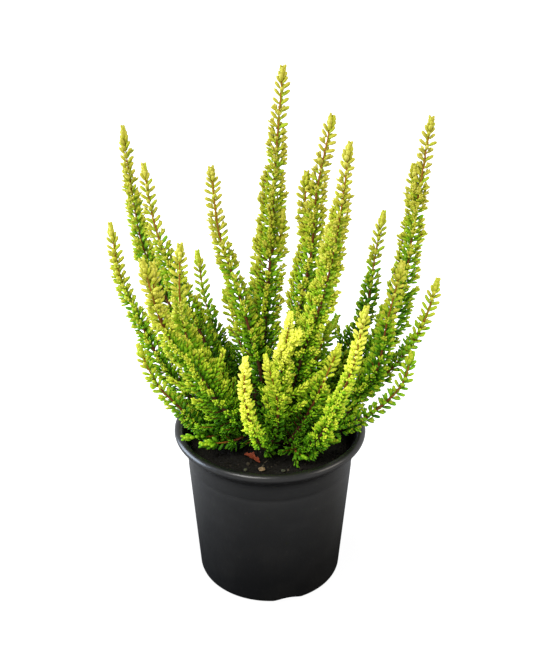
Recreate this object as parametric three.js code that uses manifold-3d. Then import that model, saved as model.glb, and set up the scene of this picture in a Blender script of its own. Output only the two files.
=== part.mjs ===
// Potted golden heather: a young bush of upright leafy shoots in a black nursery pot.
// Millimetres, +Z up. The origin is the centre of the pot's underside, on the ground.
// Its show side faces -Y.

import * as THREE from 'three';
import { mergeVertices } from 'three/addons/utils/BufferGeometryUtils.js';
import Module from 'manifold-3d';

const wasm = await Module();
wasm.setup();

// ---- driving dimensions ----

const FIT_GAP = 0.35; // air between two pieces that touch on the real plant

// nursery pot of the 12 cm trade size
const POT_HEIGHT = 107;
const POT_WALL = 1.3;
const FLOOR_THICKNESS = 1.5;
const LIP_RADIUS = 60; // outer edge of the rolled lip
const LIP_BEAD = 2.8; // radius of the rolled edge
const NECK_RADIUS = 52.6; // wall where it starts to flare into the lip
const NECK_HEIGHT = 92;
const FLARE_RISE = 5; // the wall leaves the neck gently, then turns out under the bead
const FLARE_OUT = 1.4;
const STEP_HEIGHT = 84; // stacking shoulder, where the wall steps out a little
const STEP_DEPTH = 0.6;
const FOOT_RADIUS = 45.5;
const FOOT_CORNER = 5;
const STANDING_PAD_RADIUS = 30; // flat middle of the underside
const GROOVE_HEIGHT = 2; // raised ring between the pad and the foot
const GROOVE_INNER = 31.5;
const GROOVE_OUTER = 36;
const FOOT_INNER = 37.5; // from here out to the corner the foot stands on the ground
const POT_SIDES = 48;

// drain slots, low arches cut through the corner of the foot
const SLOT_COUNT = 4;
const SLOT_ARCH_RADIUS = 16.5;
const SLOT_ARCH_SIDES = 48;
const SLOT_DEPTH = 12;
const SLOT_TOP = 4.2;
const SLOT_FIRST_DEG = -75;

// potting mix
const SOIL_HEIGHT = 95.2; // mean height of the surface
const SOIL_EDGE_DROP = 2.5; // it settles lower against the wall
const SOIL_RINGS = [46, 41, 36, 31, 26, 21, 16, 12.5];

// woody crown, half sunk in the mix
const CROWN_RADIUS = 9;
const CROWN_HEIGHT = 97;
const CROWN_SIDES = 16;

// stems and foliage
const STEM_SIDES = 6;
const STATION_SPACING = 16; // distance between the rings of a stem or a sleeve of foliage
const FEWEST_STEPS = 4;
const MAIN_STEM_RADIUS = 2.2;
const SIDE_STEM_RADIUS = 1.5;
const STEM_TIP_RADIUS = 0.5;
const BUD_LENGTH = 9; // soft tip of a shoot, past the end of its wood
const BUD_RADIUS = 1.5;
const FULL_SPREAD_LENGTH = 110; // a shoot reaches its full width this far below its tip
const FULL_SPREAD_SHARE = 0.7; // or at this share of its own length, on a short shoot
const SPREAD_POWER = 0.7; // below 1, so the foliage widens fast near the tip
const BORE_GAP = 0.45; // from the wood to the foliage around it
const SLEEVE_WALL = 0.7; // thinnest foliage
const SLEEVE_FOOT_TAPER = 0.6;

// loose things on the mix: size, place and turn
const FALLEN_LEAF = { x: -11, y: -23, thickness: 0.6, turnDeg: -38 };
const CRUMBS = {
  wood_chip: { length: 5.2, width: 3.4, height: 2.2, x: -5, y: -36, turnDeg: 20 },
  perlite_grain_left: { length: 2.6, width: 2.2, height: 2, x: -15, y: -36, turnDeg: 10 },
  perlite_grain_right: { length: 3.4, width: 2.2, height: 1.8, x: 8, y: -36, turnDeg: -25 },
};

// Each shoot: the points that its stem passes and the radius of its foliage where widest.
// A main shoot grows from the crown, a side shoot from its parent's stem, at the
// fraction `fork` of that stem's length.
const BRANCHES = {
  centre: [
    {
      name: 'tall', spread: 10.5,
      path: [[-4, 5, 130], [-4, 8, 162], [0, 11, 215], [3, 15, 275], [7, 18, 331]],
    },
    {
      name: 'centre_left', fork: 0.1, spread: 8,
      path: [[-7, -3, 152], [-19, 3, 197], [-30, 4, 236], [-34, 5, 276]],
    },
    {
      name: 'centre_back', fork: 0.14, spread: 8,
      path: [[-8, 27, 166], [-6, 50, 220]],
    },
  ],
  right_centre: [
    {
      name: 'upright_right', spread: 9,
      path: [[12, -2, 130], [18, -3, 190], [24, -4, 228], [26, -5, 262], [34, -8, 311]],
    },
    {
      name: 'upright_right_front', fork: 0.1, spread: 9,
      path: [[21, -14, 170], [31, -26, 212], [38, -36, 262], [42, -42, 308]],
    },
    {
      name: 'upright_right_back', fork: 0.08, spread: 8,
      path: [[20, 24, 145], [27, 48, 190]],
    },
    {
      name: 'middle_right', fork: 0.06, spread: 7,
      path: [[19, 4, 128], [28, 8, 149], [37, 11, 173]],
    },
  ],
  right_back: [
    {
      name: 'far_right_tall', spread: 9,
      path: [[27, 13, 115], [52, 21, 130], [71, 27, 150], [83, 34, 188], [89, 42, 233], [96, 48, 291]],
    },
    {
      name: 'far_right_front', fork: 0.12, spread: 8,
      path: [[50, 2, 126], [64, -4, 145], [70, -6, 183], [77, -9, 223]],
    },
    {
      name: 'right_back_small', fork: 0.1, spread: 6,
      path: [[43, 26, 132], [60, 42, 162], [67, 53, 204], [71, 58, 226]],
    },
  ],
  right: [
    {
      name: 'right_arching', spread: 6,
      path: [[34, -8, 107], [58, -1, 128], [80, 3, 152], [93, 5, 176], [100, 5, 205]],
    },
    {
      name: 'right_low', fork: 0.16, spread: 6,
      path: [[48, -13, 113], [64, -16, 126], [79, -20, 147], [84, -22, 170]],
    },
    {
      name: 'right_skirt', fork: 0.06, spread: 6,
      path: [[34, 5, 105], [57, 6, 112]],
    },
  ],
  left_back: [
    {
      name: 'left_tall', spread: 8,
      path: [[-27, 14, 120], [-48, 24, 152], [-63, 29, 177], [-78, 39, 209], [-84, 45, 243], [-88, 48, 285]],
    },
    {
      name: 'left_tall_inner', fork: 0.16, spread: 8,
      path: [[-38, 10, 154], [-60, 14, 207], [-70, 19, 241], [-74, 22, 271]],
    },
    {
      name: 'left_small', fork: 0.1, spread: 6,
      path: [[-30, 28, 140], [-41, 45, 170], [-46, 55, 200]],
    },
  ],
  left: [
    {
      name: 'far_left', spread: 7,
      path: [[-34, -3, 109], [-54, 3, 130], [-66, 5, 146], [-79, 7, 175], [-89, 8, 202], [-94, 9, 239]],
    },
    {
      name: 'left_low', fork: 0.14, spread: 7,
      path: [[-43, -14, 114], [-55, -20, 131], [-68, -22, 149], [-78, -22, 175]],
    },
    {
      name: 'left_skirt', fork: 0.06, spread: 7,
      path: [[-29, -12, 106], [-53, -23, 111]],
    },
  ],
  front_left: [
    {
      name: 'front_left', spread: 10,
      path: [[-14, -14, 113], [-30, -26, 136], [-44, -34, 166], [-59, -45, 195], [-70, -52, 244]],
    },
    {
      name: 'front_left_inner', fork: 0.1, spread: 9,
      path: [[-30, -15, 141], [-46, -20, 169], [-52, -23, 202], [-51, -24, 241]],
    },
    {
      name: 'front_left_skirt', fork: 0.06, spread: 7,
      path: [[-21, -21, 105], [-42, -32, 107]],
    },
  ],
  front: [
    {
      name: 'front', spread: 7,
      path: [[-1, -20, 102], [-5, -33, 112], [-13, -45, 141], [-15, -49, 163], [-14, -52, 184]],
    },
    {
      name: 'front_inner', fork: 0.1, spread: 7,
      path: [[4, -22, 118], [4, -28, 142], [-3, -36, 176]],
    },
  ],
  middle: [
    {
      name: 'middle_front', spread: 8,
      path: [[3, -12, 118], [8, -15, 161], [12, -22, 197]],
    },
  ],
  front_right: [
    {
      name: 'front_right', spread: 9,
      path: [[13, -14, 102], [22, -27, 105], [31, -35, 121], [40, -43, 149], [47, -50, 177], [53, -55, 217]],
    },
    {
      name: 'front_right_inner', fork: 0.06, spread: 8,
      path: [[22, -13, 120], [31, -17, 144], [41, -20, 174]],
    },
    {
      name: 'front_right_skirt', fork: 0.16, spread: 6,
      path: [[31, -22, 106], [42, -24, 110]],
    },
    {
      name: 'front_skirt', fork: 0.1, spread: 6,
      path: [[17, -27, 103], [25, -39, 104]],
    },
  ],
  back_right: [
    {
      name: 'back_right', spread: 8,
      path: [[12, 23, 113], [31, 43, 128], [44, 60, 152]],
    },
    {
      name: 'back_right_outer', fork: 0.12, spread: 8,
      path: [[36, 38, 120], [57, 58, 140]],
    },
    {
      name: 'back_middle', fork: 0.1, spread: 8,
      path: [[8, 36, 114], [10, 60, 135]],
    },
  ],
  back_left: [
    {
      name: 'back_left', spread: 8,
      path: [[-10, 18, 120], [-20, 40, 146], [-29, 54, 174]],
    },
    {
      name: 'back_left_inner', fork: 0.18, spread: 8,
      path: [[-32, 44, 130], [-50, 62, 152]],
    },
    {
      name: 'back_left_outer', fork: 0.12, spread: 8,
      path: [[-42, 30, 130], [-64, 44, 160]],
    },
    {
      name: 'back_left_skirt', fork: 0.08, spread: 7,
      path: [[-18, 34, 108], [-34, 50, 113]],
    },
  ],
};

// ---- materials ----

const potPlastic = () => new THREE.MeshStandardMaterial({ color: 0x2b2c2d, roughness: 0.5, metalness: 0 });
const peat = () => new THREE.MeshStandardMaterial({ color: 0x1d1410, roughness: 0.95, metalness: 0 });
const bark = () => new THREE.MeshStandardMaterial({ color: 0x5a3420, roughness: 0.85, metalness: 0 });
const leafGreen = () => new THREE.MeshStandardMaterial({ color: 0x9db42c, roughness: 0.55, metalness: 0 });
const dryLeaf = () => new THREE.MeshStandardMaterial({ color: 0x8a4327, roughness: 0.8, metalness: 0 });
const paleWood = () => new THREE.MeshStandardMaterial({ color: 0xa58a5c, roughness: 0.85, metalness: 0 });
const perlite = () => new THREE.MeshStandardMaterial({ color: 0xcfcabb, roughness: 0.9, metalness: 0 });

// ---- geometry helpers ----

// The surface keeps only its positions, and points that coincide become one.
function weld(geometry) {
  geometry.deleteAttribute('normal');
  geometry.deleteAttribute('uv');
  return mergeVertices(geometry, 1e-4);
}

// A solid of revolution about Z from [radius, height] pairs that start and end on the axis.
function turned(profile, sides) {
  const points = profile.map(([radius, height]) => new THREE.Vector2(radius, height));
  const geometry = new THREE.LatheGeometry(points, sides);
  geometry.rotateX(Math.PI / 2);
  return weld(geometry);
}

// Points of an arc in a turned profile, from one angle to another in degrees.
function arc(centreRadius, centreHeight, radius, fromDeg, toDeg, steps) {
  const points = [];
  for (let i = 0; i <= steps; i += 1) {
    const angle = THREE.MathUtils.degToRad(fromDeg + ((toDeg - fromDeg) * i) / steps);
    points.push([centreRadius + radius * Math.cos(angle), centreHeight + radius * Math.sin(angle)]);
  }
  return points;
}

function toSolid(geometry) {
  const index = geometry.index.array;
  const triangles = [];
  for (let i = 0; i < index.length; i += 3) {
    const [a, b, c] = [index[i], index[i + 1], index[i + 2]];
    if (a !== b && b !== c && c !== a) triangles.push(a, b, c);
  }
  const mesh = new wasm.Mesh({
    numProp: 3,
    vertProperties: new Float32Array(geometry.attributes.position.array),
    triVerts: new Uint32Array(triangles),
  });
  return new wasm.Manifold(mesh);
}

function toGeometry(solid) {
  const mesh = solid.getMesh();
  const geometry = new THREE.BufferGeometry();
  geometry.setAttribute('position', new THREE.BufferAttribute(mesh.vertProperties, 3));
  geometry.setIndex(new THREE.BufferAttribute(mesh.triVerts, 1));
  return geometry;
}

// ---- pot ----

function potProfile() {
  const footFlat = FOOT_RADIUS - FOOT_CORNER;
  const beadRadius = LIP_RADIUS - LIP_BEAD;
  const beadHeight = POT_HEIGHT - LIP_BEAD;
  const slope = (NECK_RADIUS - FOOT_RADIUS) / (NECK_HEIGHT - FOOT_CORNER);
  const wallAt = (height) => FOOT_RADIUS + slope * (height - FOOT_CORNER);
  const underside = [
    [0, 0],
    [STANDING_PAD_RADIUS, 0],
    [GROOVE_INNER, GROOVE_HEIGHT],
    [GROOVE_OUTER, GROOVE_HEIGHT],
    [FOOT_INNER, 0],
  ];
  const outside = [
    ...arc(footFlat, FOOT_CORNER, FOOT_CORNER, -90, 0, 5),
    [wallAt(STEP_HEIGHT) - STEP_DEPTH, STEP_HEIGHT],
    [wallAt(STEP_HEIGHT + 1), STEP_HEIGHT + 1],
    [NECK_RADIUS, NECK_HEIGHT],
    [NECK_RADIUS + FLARE_OUT, NECK_HEIGHT + FLARE_RISE],
  ];
  const lip = arc(beadRadius, beadHeight, LIP_BEAD, -50, 120, 8);
  const inside = [
    [NECK_RADIUS + FLARE_OUT / 2, beadHeight - LIP_BEAD / 2],
    [NECK_RADIUS + FLARE_OUT / 2 - POT_WALL, NECK_HEIGHT + FLARE_RISE],
    [NECK_RADIUS - POT_WALL, NECK_HEIGHT],
    ...arc(footFlat, FOOT_CORNER, FOOT_CORNER - POT_WALL, 0, -90, 4),
  ];
  const floor = [
    [FOOT_INNER + FLOOR_THICKNESS / 2, FLOOR_THICKNESS],
    [GROOVE_OUTER + FLOOR_THICKNESS / 2, GROOVE_HEIGHT + FLOOR_THICKNESS],
    [GROOVE_INNER - FLOOR_THICKNESS / 2, GROOVE_HEIGHT + FLOOR_THICKNESS],
    [STANDING_PAD_RADIUS - FLOOR_THICKNESS / 2, FLOOR_THICKNESS],
    [0, FLOOR_THICKNESS],
  ];
  return [...underside, ...outside, ...lip, ...inside, ...floor];
}

function potGeometry() {
  let pot = toSolid(turned(potProfile(), POT_SIDES));
  for (let i = 0; i < SLOT_COUNT; i += 1) {
    const slot = new THREE.CylinderGeometry(
      SLOT_ARCH_RADIUS,
      SLOT_ARCH_RADIUS,
      SLOT_DEPTH,
      SLOT_ARCH_SIDES,
    );
    slot.rotateZ(-Math.PI / 2);
    slot.translate(FOOT_INNER + SLOT_DEPTH / 2, 0, SLOT_TOP - SLOT_ARCH_RADIUS);
    slot.rotateZ(THREE.MathUtils.degToRad(SLOT_FIRST_DEG + (360 * i) / SLOT_COUNT));
    pot = pot.subtract(toSolid(weld(slot)));
  }
  return toGeometry(pot);
}

// ---- potting mix and crown ----

// Height of the crumbly surface of the mix: two sets of waves, broad and fine.
function soilSurface(x, y) {
  const broad = 0.6 * Math.sin(x / 8 + 1) * Math.cos(y / 10);
  const fine = 0.4 * Math.sin(x / 3.1) * Math.sin(y / 3.7 + 2);
  return SOIL_HEIGHT + broad + fine;
}

function pottingMixGeometry() {
  const bottom = GROOVE_HEIGHT + FLOOR_THICKNESS + FIT_GAP;
  const wallInset = POT_WALL + FIT_GAP;
  const edgeHeight = SOIL_HEIGHT - SOIL_EDGE_DROP;
  const profile = [
    [0, bottom],
    [FOOT_RADIUS - wallInset - 1, bottom],
    [NECK_RADIUS - wallInset - 0.1, edgeHeight - 1],
    [NECK_RADIUS - wallInset - 1.5, edgeHeight],
    ...SOIL_RINGS.map((radius) => [radius, SOIL_HEIGHT]),
    ...arc(0, CROWN_HEIGHT, CROWN_RADIUS + BORE_GAP, -14, -90, 5),
  ];
  const geometry = turned(profile, POT_SIDES);
  const position = geometry.attributes.position;
  for (let i = 0; i < position.count; i += 1) {
    if (Math.abs(position.getZ(i) - SOIL_HEIGHT) < FIT_GAP / 10) {
      position.setZ(i, soilSurface(position.getX(i), position.getY(i)));
    }
  }
  return geometry;
}

// A rounded burl, from which all the branches grow.
function crownGeometry() {
  return turned(arc(0, CROWN_HEIGHT, CROWN_RADIUS, -90, 90, 8), CROWN_SIDES);
}

// ---- stems ----

// Follows a curve with a frame that never spins: `side` is level and square to the lean.
function frameAlong(curve) {
  const length = curve.getLength();
  const lean = curve.getPoint(1).sub(curve.getPoint(0)).setZ(0).normalize();
  const level = new THREE.Vector3(-lean.y, lean.x, 0);
  return (distance) => {
    const t = THREE.MathUtils.clamp(distance / length, 0, 1);
    const origin = curve.getPointAt(t);
    const forward = curve.getTangentAt(t);
    const side = level.clone().addScaledVector(forward, -level.dot(forward)).normalize();
    const out = new THREE.Vector3().crossVectors(side, forward);
    return { origin, forward, side, out };
  };
}

// A turned solid whose axis is bent to follow a curve: its heights become distances along it.
function bent(profile, sides, curve) {
  const frameAt = frameAlong(curve);
  const points = profile.map(([radius, distance]) => new THREE.Vector2(radius, distance));
  const geometry = weld(new THREE.LatheGeometry(points, sides));
  const position = geometry.attributes.position;
  const place = new THREE.Vector3();
  for (let i = 0; i < position.count; i += 1) {
    const { origin, side, out } = frameAt(position.getY(i));
    place.copy(origin).addScaledVector(side, position.getX(i)).addScaledVector(out, position.getZ(i));
    position.setXYZ(i, place.x, place.y, place.z);
  }
  return geometry;
}

function stemCurve(start, path) {
  const points = path.map((point) => new THREE.Vector3(...point));
  return new THREE.CatmullRomCurve3([start, ...points], false, 'centripetal');
}

// A stem leaves the crown square to its skin, so its foot lies flat against it.
function crownStart(path) {
  const centre = new THREE.Vector3(0, 0, CROWN_HEIGHT);
  const direction = new THREE.Vector3(...path[0]).sub(centre).normalize();
  return centre.addScaledVector(direction, CROWN_RADIUS + FIT_GAP);
}

// Works out the curve, length and thickness of every shoot.
function growShoots() {
  const shoots = [];
  for (const [branch, rows] of Object.entries(BRANCHES)) {
    const [mainRow, ...sideRows] = rows;
    const main = {
      ...mainRow,
      branch,
      radius: MAIN_STEM_RADIUS,
      curve: stemCurve(crownStart(mainRow.path), mainRow.path),
    };
    shoots.push(main);
    for (const row of sideRows) {
      const start = main.curve.getPointAt(row.fork);
      shoots.push({ ...row, branch, radius: SIDE_STEM_RADIUS, curve: stemCurve(start, row.path) });
    }
  }
  for (const shoot of shoots) {
    shoot.length = shoot.curve.getLength();
    shoot.woodLength = shoot.length - BUD_LENGTH;
    shoot.samples = shoot.curve.getSpacedPoints(Math.ceil(shoot.length / 2));
  }
  return shoots;
}

// Radius of the wood at a distance from the foot of a stem.
function woodRadius(shoot, distance) {
  const left = Math.max(0, 1 - distance / shoot.woodLength);
  return STEM_TIP_RADIUS + (shoot.radius - STEM_TIP_RADIUS) * left;
}

// Distances of the rings of a stem from its foot, shared by the sleeve of leaves around it.
function stationsOf(shoot) {
  const steps = Math.max(FEWEST_STEPS, Math.ceil(shoot.woodLength / STATION_SPACING));
  return Array.from({ length: steps + 1 }, (_, i) => ((shoot.woodLength - 1) * i) / steps);
}

function stemGeometry(shoot) {
  const rings = stationsOf(shoot).map((distance) => [woodRadius(shoot, distance), distance]);
  return bent([[0, 0], ...rings, [0, shoot.woodLength]], STEM_SIDES, shoot.curve);
}

function branchGeometry(shoots) {
  const stems = shoots.map((shoot) => toSolid(stemGeometry(shoot)));
  return toGeometry(stems.reduce((whole, stem) => whole.add(stem)));
}

// ---- foliage ----

// Half the way to the nearest other stem: neighbouring shoots share the room between them.
function roomAt(point, shoot, shoots) {
  let nearest = Infinity;
  for (const other of shoots) {
    if (other !== shoot) {
      for (const sample of other.samples) nearest = Math.min(nearest, sample.distanceTo(point));
    }
  }
  return nearest / 2 - BORE_GAP;
}

// Radius of the foliage at a distance below the tip of a shoot.
function leafyRadius(shoot, below) {
  const reach = Math.min(FULL_SPREAD_LENGTH, shoot.length * FULL_SPREAD_SHARE);
  return BUD_RADIUS + (shoot.spread - BUD_RADIUS) * Math.min(1, below / reach) ** SPREAD_POWER;
}

// Rings of the sleeve of leaves from the top of the wood down, while there is room for it.
function sleeveRings(shoot, shoots) {
  const rings = [];
  for (const distance of stationsOf(shoot).slice(1).reverse()) {
    const room = roomAt(shoot.curve.getPointAt(distance / shoot.length), shoot, shoots);
    const radius = Math.min(leafyRadius(shoot, shoot.length - distance), room);
    const inner = woodRadius(shoot, distance) + BORE_GAP;
    if (radius < inner + SLEEVE_WALL) break;
    rings.push({ distance, radius, inner });
  }
  return rings;
}

function foliageGeometry(shoot, shoots) {
  const rings = sleeveRings(shoot, shoots);
  const lowest = rings[rings.length - 1];
  lowest.radius = Math.max(lowest.inner + SLEEVE_WALL, lowest.radius * SLEEVE_FOOT_TAPER);
  const outside = rings.map(({ distance, radius }) => [radius, distance]);
  const bore = rings.map(({ distance, inner }) => [inner, distance]).reverse();
  const profile = [
    [0, shoot.length],
    [BUD_RADIUS, shoot.length - BUD_LENGTH / 2],
    ...outside,
    ...bore,
    [STEM_TIP_RADIUS + FIT_GAP, shoot.woodLength],
    [0, shoot.woodLength + FIT_GAP],
  ];
  return bent(profile.reverse(), STEM_SIDES, shoot.curve);
}

// ---- loose things on the mix ----

function fallenLeafGeometry() {
  const outline = new THREE.Shape();
  outline.moveTo(-6, 0);
  outline.quadraticCurveTo(-2, 3.2, 3, 2);
  outline.quadraticCurveTo(5.5, 1.2, 6.5, 0);
  outline.quadraticCurveTo(4, -2.2, 0, -2.2);
  outline.quadraticCurveTo(-4, -1.8, -6, 0);
  const { x, y, thickness, turnDeg } = FALLEN_LEAF;
  const extrusion = { depth: thickness, bevelEnabled: false, curveSegments: 5 };
  const leaf = new THREE.ExtrudeGeometry(outline, extrusion);
  leaf.rotateZ(THREE.MathUtils.degToRad(turnDeg));
  leaf.translate(x, y, soilSurface(x, y) + 2 * FIT_GAP);
  return leaf;
}

// A small angular piece resting at a place on the mix.
function crumbGeometry({ length, width, height, x, y, turnDeg }) {
  const crumb = new THREE.IcosahedronGeometry(0.5, 0);
  crumb.scale(length, width, height);
  crumb.rotateZ(THREE.MathUtils.degToRad(turnDeg));
  crumb.translate(x, y, soilSurface(x, y) + height / 2 + FIT_GAP);
  return crumb;
}

// ---- the object ----

const heather = new THREE.Group();

function addPiece(name, geometry, material) {
  const mesh = new THREE.Mesh(geometry, material);
  mesh.name = name;
  heather.add(mesh);
}

addPiece('pot', potGeometry(), potPlastic());
addPiece('potting_mix', pottingMixGeometry(), peat());
addPiece('woody_crown', crownGeometry(), bark());
addPiece('fallen_leaf', fallenLeafGeometry(), dryLeaf());
for (const [name, crumb] of Object.entries(CRUMBS)) {
  addPiece(name, crumbGeometry(crumb), name === 'wood_chip' ? paleWood() : perlite());
}

const shoots = growShoots();
for (const branch of Object.keys(BRANCHES)) {
  const members = shoots.filter((shoot) => shoot.branch === branch);
  addPiece(`branch_${branch}`, branchGeometry(members), bark());
}
for (const shoot of shoots) {
  addPiece(`foliage_${shoot.name}`, foliageGeometry(shoot, shoots), leafGreen());
}

export default heather;
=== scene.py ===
# %% [markdown]
# # A young golden heather in a black nursery pot
# The plant is a bush of upright woody shoots, each clothed in hundreds of small oblong leaves. It
# stands in dark, crumbly potting mix in a satin black pot with a rolled lip. A plain frame model
# already holds the true sizes and places: this lesson replaces its simple solids, piece by piece,
# with fine ones. Everything is in metres in the frame's own axes, with the pot's foot at the origin
# and +Z up, but garden-sized things are easier to read in millimetres, so sizes are written that way.

# %% Load the frame
import math
import random

import bpy
import numpy as np
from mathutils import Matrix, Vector, kdtree


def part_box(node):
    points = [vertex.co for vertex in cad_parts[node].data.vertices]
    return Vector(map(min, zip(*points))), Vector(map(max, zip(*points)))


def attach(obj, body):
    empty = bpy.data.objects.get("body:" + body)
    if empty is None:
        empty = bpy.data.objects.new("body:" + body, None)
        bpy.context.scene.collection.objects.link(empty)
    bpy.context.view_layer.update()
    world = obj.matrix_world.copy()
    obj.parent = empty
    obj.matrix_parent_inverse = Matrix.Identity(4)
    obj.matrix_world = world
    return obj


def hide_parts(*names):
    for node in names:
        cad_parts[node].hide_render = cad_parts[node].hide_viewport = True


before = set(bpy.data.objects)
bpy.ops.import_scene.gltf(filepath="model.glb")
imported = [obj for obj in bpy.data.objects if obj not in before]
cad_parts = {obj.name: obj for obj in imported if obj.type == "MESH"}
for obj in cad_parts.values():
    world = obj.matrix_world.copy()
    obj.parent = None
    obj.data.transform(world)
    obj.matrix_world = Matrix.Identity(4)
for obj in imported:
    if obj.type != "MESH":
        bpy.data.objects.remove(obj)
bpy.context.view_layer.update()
MM = 0.001

# %% [markdown]
# ## Camera
# A portrait of a small plant is best taken with a long lens from a little above, which keeps the pot's
# sides nearly upright while the surface of the mix still shows. The camera looks at a point half way
# up the plant.

# %% Camera
AIM = Vector((-2.2, 0, 171.5)) * MM
CAMERA_DISTANCE = 800 * MM
CAMERA_PITCH = math.radians(28.2)
SENSOR_WIDTH = 36
FRAME_WIDTH = 533
FOCAL_LENGTH_IN_PIXELS = 1322

backwards = Vector((0, -math.cos(CAMERA_PITCH), math.sin(CAMERA_PITCH)))
bpy.ops.object.camera_add(location=AIM + backwards * CAMERA_DISTANCE)
camera = bpy.context.object
camera.rotation_euler = backwards.to_track_quat("Z", "Y").to_euler()
camera.data.sensor_fit = "HORIZONTAL"
camera.data.sensor_width = SENSOR_WIDTH
camera.data.lens = FOCAL_LENGTH_IN_PIXELS * SENSOR_WIDTH / FRAME_WIDTH
bpy.context.scene.camera = camera
print("lens in mm:", round(camera.data.lens, 1))

# %% [markdown]
# ## Small tools
# Operators work on whatever is selected, so every step starts by selecting one piece alone. A piece
# starts as a simple solid, is changed in edit mode with all its points selected, or gets a modifier
# that is added, set and applied in one go.

# %% Tools for handling one piece
SAME_POINT_WITHIN = 0.002


def take(piece):
    """Selects one piece alone and makes it the active one."""
    bpy.ops.object.select_all(action="DESELECT")
    piece.select_set(True)
    bpy.context.view_layer.objects.active = piece
    return piece


def add_solid(name, operator, **settings):
    """A named piece made by one of Blender's own solids, with its place written into its points."""
    bpy.ops.object.select_all(action="DESELECT")
    operator(**settings)
    piece = bpy.context.object
    piece.name = name
    bpy.ops.object.transform_apply(location=True, rotation=True, scale=True)
    return piece


def edit(piece):
    """Opens a piece in edit mode with all its points selected."""
    take(piece)
    bpy.ops.object.mode_set(mode="EDIT")
    bpy.ops.mesh.select_all(action="SELECT")


def leave_edit():
    bpy.ops.object.mode_set(mode="OBJECT")


def merge_points(piece):
    """Makes one point of points that lie in the same place, which closes seams and end caps."""
    edit(piece)
    bpy.ops.mesh.remove_doubles(threshold=SAME_POINT_WITHIN * MM)
    leave_edit()


def join(pieces):
    """Makes one piece of several, under the name of the first."""
    take(pieces[0])
    for piece in pieces[1:]:
        piece.select_set(True)
    bpy.ops.object.join()
    return pieces[0]

# %% Tools for storing, shaping and shading
def add_to_scene(name, data):
    piece = bpy.data.objects.new(name, data)
    bpy.context.scene.collection.objects.link(piece)
    return piece


def store(piece, name, values):
    """Stores a number on each point of a piece, for its material to read."""
    piece.data.attributes.new(name, "FLOAT", "POINT").data.foreach_set("value", values)


def apply_modifier(piece, kind, **settings):
    modifier = take(piece).modifiers.new(kind, kind)
    for name, value in settings.items():
        setattr(modifier, name, value)
    bpy.ops.object.modifier_apply(modifier=modifier.name)


def push_about(piece, name, scale, strength, mid_level=0.5, depth=2, **settings):
    """Moves the points by a cloud noise, with its scale and strength in mm."""
    clouds = bpy.data.textures.new(name, "CLOUDS")
    clouds.noise_scale = scale * MM
    clouds.noise_depth = depth
    apply_modifier(piece, "DISPLACE", texture=clouds, texture_coords="LOCAL",
                   strength=strength * MM, mid_level=mid_level, **settings)


def smooth(piece, sharp_from=None):
    """Shades a piece smooth, except along edges sharper than an angle in degrees."""
    take(piece)
    if sharp_from is None:
        bpy.ops.object.shade_smooth()
    else:
        bpy.ops.object.shade_smooth_by_angle(angle=math.radians(sharp_from))


def settle(piece, skin, node):
    piece.data.materials.clear()
    piece.data.materials.append(skin.material)
    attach(piece, "root")
    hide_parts(node)

# %% [markdown]
# ## Tools for mixing a material
# Surfaces are mixed in node trees. A small class keeps a tree at hand and has one short call for each
# kind of node, whose inputs take either a value or the output of another node. A recipe further down
# then reads as a list of what is seen on the surface.

# %% Nodes
class Nodes:
    """A node tree, with a short call for each kind of node in it."""

    def __init__(self, tree):
        self.tree = tree

    def feed(self, socket, value):
        """Sets an input of a node, or links it to another node's output."""
        if isinstance(value, bpy.types.NodeSocket):
            self.tree.links.new(value, socket)
        else:
            socket.default_value = value

    def add(self, kind, inputs=None, **settings):
        """Adds a node, sets its own settings and feeds its inputs."""
        node = self.tree.nodes.new("ShaderNode" + kind)
        for name, value in settings.items():
            setattr(node, name, value)
        for name, value in (inputs or {}).items():
            self.feed(node.inputs[name], value)
        return node

    def number(self, operation, first, second):
        """One sum on two numbers."""
        return self.add("Math", {0: first, 1: second}, operation=operation).outputs["Value"]

    def rescale(self, value, low, high, new_low=0.0, new_high=1.0):
        """Moves a number from one span to another, and keeps it inside the new one."""
        spans = {"From Min": low, "From Max": high, "To Min": new_low, "To Max": new_high}
        return self.add("MapRange", {"Value": value, **spans}).outputs["Result"]

    def noise(self, place, scale, detail, roughness):
        inputs = {"Vector": place, "Scale": scale, "Detail": detail, "Roughness": roughness}
        return self.add("TexNoise", inputs).outputs["Fac"]

    def mix(self, mask, low, high):
        """A colour between two others."""
        return self.add("Mix", {"A": low, "B": high, "Factor": mask}, data_type="RGBA").outputs["Result"]

    def ramp(self, position, stops):
        """Colours at positions from 0 to 1, read by a number."""
        node = self.add("ValToRGB", {"Fac": position})
        elements = node.color_ramp.elements
        while len(elements) < len(stops):
            elements.new(0.5)
        for element, (where, colour) in zip(elements, stops):
            element.position = where
            element.color = (*colour, 1)
        return node.outputs["Color"]

    def read(self, name):
        """A number stored on the mesh under a name."""
        return self.add("Attribute", attribute_name=name).outputs["Fac"]

# %% [markdown]
# ## Shared surface effects
# Three effects turn up on several materials here, so each is a node group with named sockets. Mottle
# gives soft patches with a chosen contrast. Grain gives a fine height for a bump. Streaks stretches
# its patches sideways, as the marks on a pot that was turned and rubbed against its neighbours.

# %% Node groups
class Effect(Nodes):
    """A node group that turns a vector and some numbers into one output."""

    def __init__(self, name, output, **inputs):
        super().__init__(bpy.data.node_groups.new(name, "ShaderNodeTree"))
        self.add_socket("Vector", "INPUT", "Vector")
        for input_name, value in inputs.items():
            self.add_socket(input_name, "INPUT", "Float").default_value = value
        self.add_socket(output, "OUTPUT", "Float")
        self.start = self.tree.nodes.new("NodeGroupInput").outputs
        self.end = self.tree.nodes.new("NodeGroupOutput").inputs[output]

    def add_socket(self, name, side, kind):
        return self.tree.interface.new_socket(name=name, in_out=side, socket_type="NodeSocket" + kind)


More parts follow.
